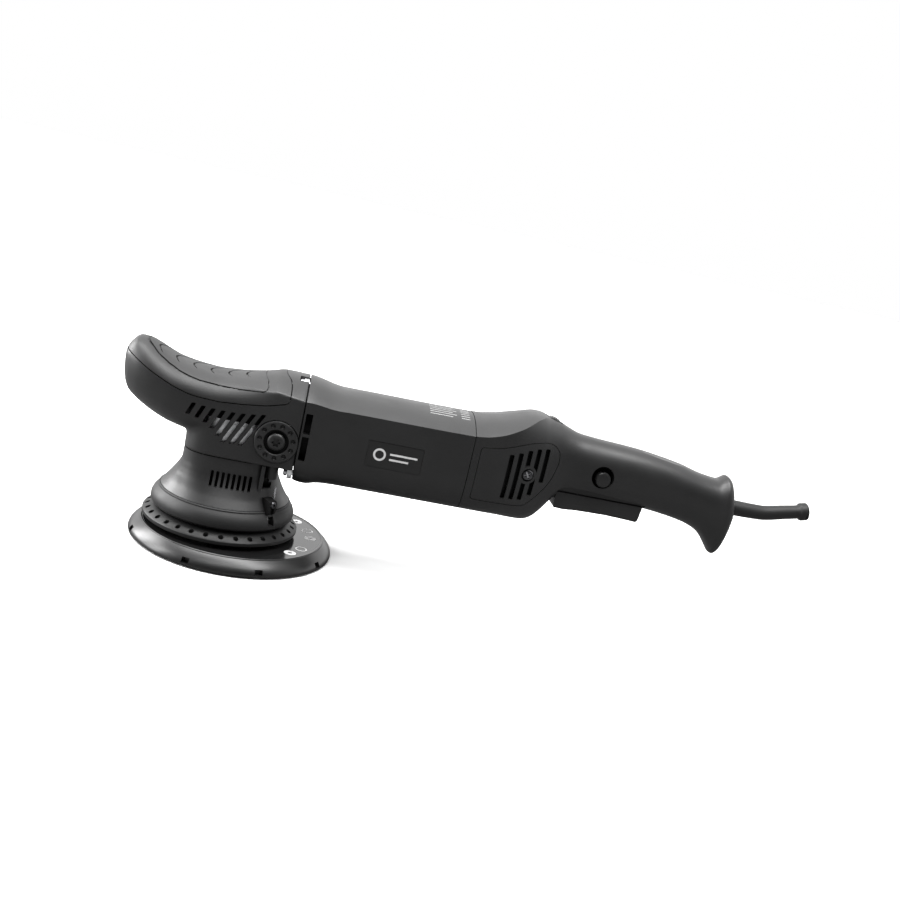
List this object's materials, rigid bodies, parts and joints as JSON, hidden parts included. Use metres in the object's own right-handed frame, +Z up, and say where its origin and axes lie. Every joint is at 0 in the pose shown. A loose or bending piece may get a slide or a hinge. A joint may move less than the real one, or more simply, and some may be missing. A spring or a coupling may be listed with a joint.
{
  "type": "dual action polisher",
  "caption": "Corded car polisher whose round backing plate spins freely while it orbits an offset spindle, with a nose grip and a rear handle.",
  "frame": {"origin": "on the drive spindle's axis, in the face of the backing plate", "axes": "+Z up along the spindle, away from the work; +X back along the motor to the rear handle; the plate's axis is 10.5 mm towards +X at rest"},
  "size_m": [0.5349, 0.1516, 0.1416],
  "materials": {
    "black_plastic": "satin moulded, fine spark texture",
    "soft_grip": "soft-touch overmould",
    "black_rubber": "matt moulded rubber",
    "control_plastic": "satin moulded",
    "cast_aluminium": "cast and machined",
    "steel": "turned and ground",
    "core_steel": "laminated and cast",
    "copper": "enamelled copper and brass",
    "hook_material": "hook-and-loop hooks",
    "carbon": "pressed carbon",
    "switch_plastic": "moulded",
    "circuit_board": "solder mask"
  },
  "bodies": {
    "root": {"head_shell": "black_plastic", "grip_cover": "soft_grip", "grip_pad": "black_rubber", "side_cap_left": "black_plastic", "side_cap_right": "black_plastic", "shroud": "black_plastic", "shroud_collar": "black_rubber", "vent_ring": "black_plastic", "collar_clamp": "black_plastic", "collar_clamp_screw": "steel", "shroud_screw_left": "steel", "shroud_screw_right": "steel", "gear_case": "cast_aluminium", "gear_case_cover": "black_plastic", "case_screw_1": "steel", "case_screw_2": "steel", "case_screw_3": "steel", "case_screw_4": "steel", "front_bearing_outer": "steel", "rear_bearing_outer": "steel", "spindle_bearing_outer": "steel", "motor_housing": "black_plastic", "stator_core": "core_steel", "field_coil_upper": "copper", "field_coil_lower": "copper", "carbon_brush_left": "carbon", "carbon_brush_right": "carbon", "brush_holder_left": "copper", "brush_holder_right": "copper", "handle_shell_left": "black_plastic", "handle_shell_right": "black_plastic", "brush_cover_left": "black_plastic", "brush_cover_right": "black_plastic", "brush_cover_screw_left": "steel", "brush_cover_screw_right": "steel", "switch_body": "switch_plastic", "speed_control_board": "circuit_board", "cable_sleeve": "black_rubber", "cord_clamp": "black_plastic"},
    "armature": {"armature_shaft": "steel", "armature_core": "core_steel", "commutator": "copper", "cooling_fan": "black_plastic", "pinion": "steel", "front_bearing_inner": "steel", "rear_bearing_inner": "steel"},
    "drive": {"drive_spindle": "steel", "crown_gear": "steel", "eccentric_counterweight": "core_steel", "spindle_bearing_inner": "steel", "pad_bearing_outer": "steel"},
    "pad": {"pad_spindle": "steel", "backing_plate": "black_plastic", "hook_face": "hook_material", "plate_bolt": "steel", "pad_bearing_inner": "steel"},
    "trigger": {"trigger": "control_plastic"},
    "plunger": {"switch_plunger": "black_plastic"},
    "lock_button": {"lock_button": "control_plastic"},
    "speed_dial": {"speed_dial": "control_plastic"}
  },
  "joints": [
    {"name": "drive_spin", "type": "hinge", "parent": "root", "child": "drive", "pos_m": [0, 0, 0.06], "axis": [0, 0, 1], "continuous": true},
    {"name": "armature_spin", "type": "hinge", "parent": "root", "child": "armature", "pos_m": [0.1, 0, 0.099], "axis": [1, 0, 0], "continuous": true},
    {"name": "pad_spin", "type": "hinge", "parent": "drive", "child": "pad", "pos_m": [0.0105, 0, 0.037], "axis": [0, 0, 1], "continuous": true},
    {"name": "trigger_pull", "type": "hinge", "parent": "root", "child": "trigger", "pos_m": [0.25, 0, 0.092], "axis": [0, -1, 0], "range_deg": [0, 6], "stiffness_Nm_per_rad": 0.6, "springref_deg": -11.46},
    {"name": "plunger_travel", "type": "slide", "parent": "root", "child": "plunger", "axis": [0, 0, 1], "range_m": [0, 0.004]},
    {"name": "lock_press", "type": "slide", "parent": "root", "child": "lock_button", "axis": [0, 1, 0], "range_m": [0, 0.003], "stiffness_N_per_m": 300, "springref_m": -0.002},
    {"name": "dial_turn", "type": "hinge", "parent": "root", "child": "speed_dial", "pos_m": [0.2295, 0, 0.1313], "axis": [0, 1, 0], "range_deg": [0, 270]}
  ],
  "couplings": [
    {"joint": "armature_spin", "follows": "drive_spin", "ratio": 3.6},
    {"joint": "plunger_travel", "follows": "trigger_pull", "m_per_rad": 0.035}
  ]
}
